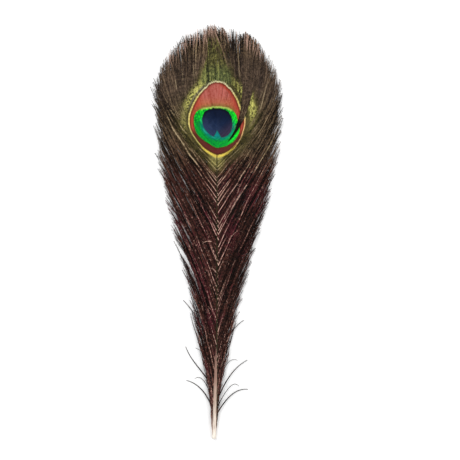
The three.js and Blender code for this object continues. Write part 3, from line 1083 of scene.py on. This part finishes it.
# bare barbs that stray from the quill. Each has the height of its root, its side, the angles that it
# leaves at, points along and ends at, and its reach.
wisps = {
    "barbs": [
        {"at": 17, "side": 1, "leaves": 30, "points": 52, "ends": 96, "reach": 31},
        {"at": 21, "side": -1, "leaves": 22, "points": 44, "ends": 78, "reach": 30},
        {"at": 27, "side": 1, "leaves": 24, "points": 38, "ends": 62, "reach": 39},
        {"at": 34, "side": -1, "leaves": 18, "points": 33, "ends": 20, "reach": 40},
        {"at": 46, "side": 1, "leaves": 16, "points": 27, "ends": 58, "reach": 46},
        {"at": 58, "side": -1, "leaves": 20, "points": 29, "ends": 44, "reach": 50},
    ],
    "steps": 30,
    "halfWidth": 0.5,
    "tipHeight": 1.0,
    # a thinner barb beside each: how far its root and angles differ, its share of the reach and width
    "beside": {"at": 4, "leaves": -6, "points": -6, "ends": 48, "reach": 0.8, "width": 0.65},
    "nodes": {"Rib thickness": 0.7, "Barbule spacing": 5 * mm, "Barbule width": 0.3,
              "Barbule angle": 0.6, "Unevenness": 0.3, "Seed": 17},
}

# pale barbs that have come loose and lie over the body: where each starts and ends, across and along
# the feather, its two angles, and its height over the table
curls = {
    "barbs": [
        {"from": (-0.6, -94.0), "to": (-10.5, -93.5), "leaves": -30, "ends": -150, "height": 6.0},
        {"from": (0.4, -118.0), "to": (-4.5, -111.0), "leaves": -10, "ends": -80, "height": 6.2},
        {"from": (-6.0, -148.0), "to": (3.5, -131.0), "leaves": 40, "ends": 22, "height": 6.2},
        {"from": (4.0, -104.0), "to": (15.0, -84.0), "leaves": 5, "ends": 55, "height": 5.4},
        {"from": (-7.0, -70.0), "to": (-17.5, -56.0), "leaves": -70, "ends": -10, "height": 4.0},
        {"from": (1.5, -160.0), "to": (-6.5, -139.0), "leaves": 0, "ends": -45, "height": 5.6},
        {"from": (6.0, -58.0), "to": (19.0, -50.0), "leaves": 25, "ends": 95, "height": 3.6},
    ],
    "steps": 24,
    "halfWidth": 0.3,
    "rise": 0.6,  # from its root to its tip
}


def makeCurls(name, group):
    barbs = curls["barbs"]
    start = np.array([[*barb["from"], barb["height"] - curls["rise"]] for barb in barbs])
    end = np.array([[*barb["to"], barb["height"]] for barb in barbs])
    leaves = np.array([barb["leaves"] for barb in barbs], float)
    ends = np.array([barb["ends"] for barb in barbs], float)
    lines = barbLines(start, end, 1, leaves, ends, curls["steps"])
    share = evenShares(lines)
    return plant(name, lines, {
        "share": 0.1 + 0.5 * share,
        "halfWidth": curls["halfWidth"] * (1 - 0.6 * np.abs(2 * share - 1) ** 2),
    }, group, wisps["nodes"])


def makeWisps(name, group):
    rows = []
    widths = []
    beside = wisps["beside"]
    for wisp in wisps["barbs"]:
        side = wisp["side"]
        for second in (0, 1):
            at = np.array([wisp["at"] + float(second * beside["at"])])
            root = shaftPoint(at)
            root[:, 0] += side * 0.7 * along(shaftStations, "radius", at)
            reach = wisp["reach"] * (beside["reach"] if second else 1)
            tip = shaftPoint(at) + heading(wisp["points"] + second * beside["points"], side) * reach
            tip[:, 2] = wisps["tipHeight"]
            leaves = wisp["leaves"] + second * beside["leaves"]
            ends = wisp["ends"] + second * beside["ends"]
            rows.append(barbLines(root, tip, side, leaves, ends, wisps["steps"])[0])
            widths.append(wisps["halfWidth"] * (beside["width"] if second else 1))
    lines = np.array(rows)
    return plant(name, lines, {
        "luck": np.linspace(0, 0.4, len(lines))[:, None],
        "halfWidth": np.array(widths)[:, None] * (1 - 0.6 * evenShares(lines)**1.5),
    }, group, wisps["nodes"])


shaftMesh = {"steps": 150, "sides": 20, "lastRing": 0.3}


def makeShaft(material):
    steps = shaftMesh["steps"]
    sides = shaftMesh["sides"]
    at = np.linspace(0, feather["shaftEnd"], steps + 1)
    radius = along(shaftStations, "radius", at)
    radius[-1] *= shaftMesh["lastRing"]
    turn = np.arange(sides) / sides * 2 * math.pi
    ring = np.stack([np.cos(turn), 0 * turn, np.sin(turn)], axis=-1)
    places = shaftPoint(at)[:, None, :] + radius[:, None, None] * ring[None]
    places[:, :, 2] = np.maximum(places[:, :, 2], 0)  # the quill is worn flat where it lies on the table
    faces = []
    for i in range(steps):
        for j in range(sides):
            k = (j + 1) % sides
            faces.append((i * sides + j, (i + 1) * sides + j, (i + 1) * sides + k, i * sides + k))
    faces.append(tuple(range(sides)))
    faces.append(tuple(steps * sides + j for j in reversed(range(sides))))
    mesh = bpy.data.meshes.new("shaft")
    mesh.from_pydata((places.reshape(-1, 3) * mm).tolist(), [], faces)
    mesh.materials.append(material)
    mesh.shade_smooth()
    return newObject("shaft", mesh)


# the shaft's colours by share of its length, cream at the cut, brown and then olive at the eye
quillStops = [
    (0.0, dye(240, 232, 220)), (0.05, dye(222, 208, 194)), (0.11, dye(186, 164, 148)),
    (0.17, dye(152, 118, 104)), (0.3, dye(88, 58, 48)), (0.7, dye(58, 42, 32)),
    (0.8, dye(88, 78, 42)), (1.0, dye(90, 84, 44)),
]


def quillPaint():
    material, tree, shader = newPaint("quill")
    ease, mix = tree.ease, tree.mix
    spot = tree.parts(tree.add("ShaderNodeTexCoord", output="Object"))
    y = spot.other("Y")
    drawn = tree.vector(spot * 2500, y * 60, spot.other("Z") * 2500)
    grain = tree.noise(drawn, 1, 2)  # fine lines along the shaft
    level = (y * 1000 + feather["eyeHeight"]) / feather["shaftEnd"] + 0.16 * (grain - 0.5)
    colour = tree.add("ShaderNodeValToRGB", {"stops": quillStops}, [level])
    colour = mix(ease(grain, 0.56, 0.66) * 0.5, colour, dye(128, 104, 90))
    tree.feed(shader.inputs["Base Color"], colour)
    shader.inputs["Roughness"].default_value = 0.5
    shader.inputs["Specular IOR Level"].default_value = 0.25
    return material


barbTree = growBarbs(barbPaint())
print("finishes and node tree made")

shaft = makeShaft(quillPaint())
pieces = [
    makeEyeBarbs("eyeBarbsLeft", -1, 21, barbTree),
    makeEyeBarbs("eyeBarbsRight", 1, 22, barbTree),
    makeStrayBarbs("strayBarbs", 23, barbTree),
    makeLowerFringe("lowerFringe", 25, barbTree),
    makeBodyBarbs("bodyBarbsLeft", -1, 31, barbTree, bodyBarbs),
    makeBodyBarbs("bodyBarbsRight", 1, 32, barbTree, bodyBarbs),
    makeBodyBarbs("lowerBarbsLeft", -1, 33, barbTree, lowerBarbs),
    makeBodyBarbs("lowerBarbsRight", 1, 34, barbTree, lowerBarbs),
    makeBodyBarbs("quillBarbsLeft", -1, 35, barbTree, quillBarbs),
    makeBodyBarbs("quillBarbsRight", 1, 36, barbTree, quillBarbs),
    makeCurls("curls", barbTree),
    makeWisps("wisps", barbTree),
]
print("barbs grown")

for piece in pieces + [shaft]:
    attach(piece, "root")
    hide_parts("feather")

view = {
    "middle": (9.58 * mm, -83.2 * mm),
    "width": 338.9 * mm,
    "lens": 85,
    "sensor": 36,
}

# in metres: half the floor's width, and each lamp's place, size and power
studio = {
    "halfFloor": 3.0,
    "sky": 0.75,
    "lamps": {
        "key": {"at": (-0.5, 0.5, 1.0), "size": 0.5, "power": 7.0},
        "fill": {"at": (0.7, -0.3, 0.8), "size": 0.8, "power": 4.0},
    },
}


def setStage():
    material, _, shader = newPaint("floor")
    shader.inputs["Base Color"].default_value = (0.9, 0.9, 0.9, 1)
    shader.inputs["Roughness"].default_value = 0.9
    half = studio["halfFloor"]
    mesh = bpy.data.meshes.new("floor")
    corners = [(-half, -half, 0), (half, -half, 0), (half, half, 0), (-half, half, 0)]
    mesh.from_pydata(corners, [], [(0, 1, 2, 3)])
    mesh.materials.append(material)
    floor = newObject("floor", mesh)


def setLights():
    world = bpy.data.worlds.new("studio")
    bpy.context.scene.world = world
    world.use_nodes = True
    sky = world.node_tree.nodes["Background"]
    sky.inputs["Color"].default_value = (1, 1, 1, 1)
    sky.inputs["Strength"].default_value = studio["sky"]
    for name, settings in studio["lamps"].items():
        lamp = bpy.data.lights.new(name, "AREA")
        lamp.size = settings["size"]
        lamp.energy = settings["power"]
        holder = newObject(name, lamp)
        holder.location = settings["at"]
        aim = -holder.location
        holder.rotation_euler = aim.to_track_quat("-Z", "Y").to_euler()


def setCamera():
    lens = bpy.data.cameras.new("camera")
    lens.lens = view["lens"]
    lens.sensor_width = view["sensor"]
    holder = newObject("camera", lens)
    distance = view["width"] * view["lens"] / view["sensor"]
    holder.location = (*view["middle"], distance)
    bpy.context.scene.camera = holder


setStage()
setLights()
setCamera()
bpy.context.scene.view_settings.view_transform = "Standard"
print("stage, lights and camera set")
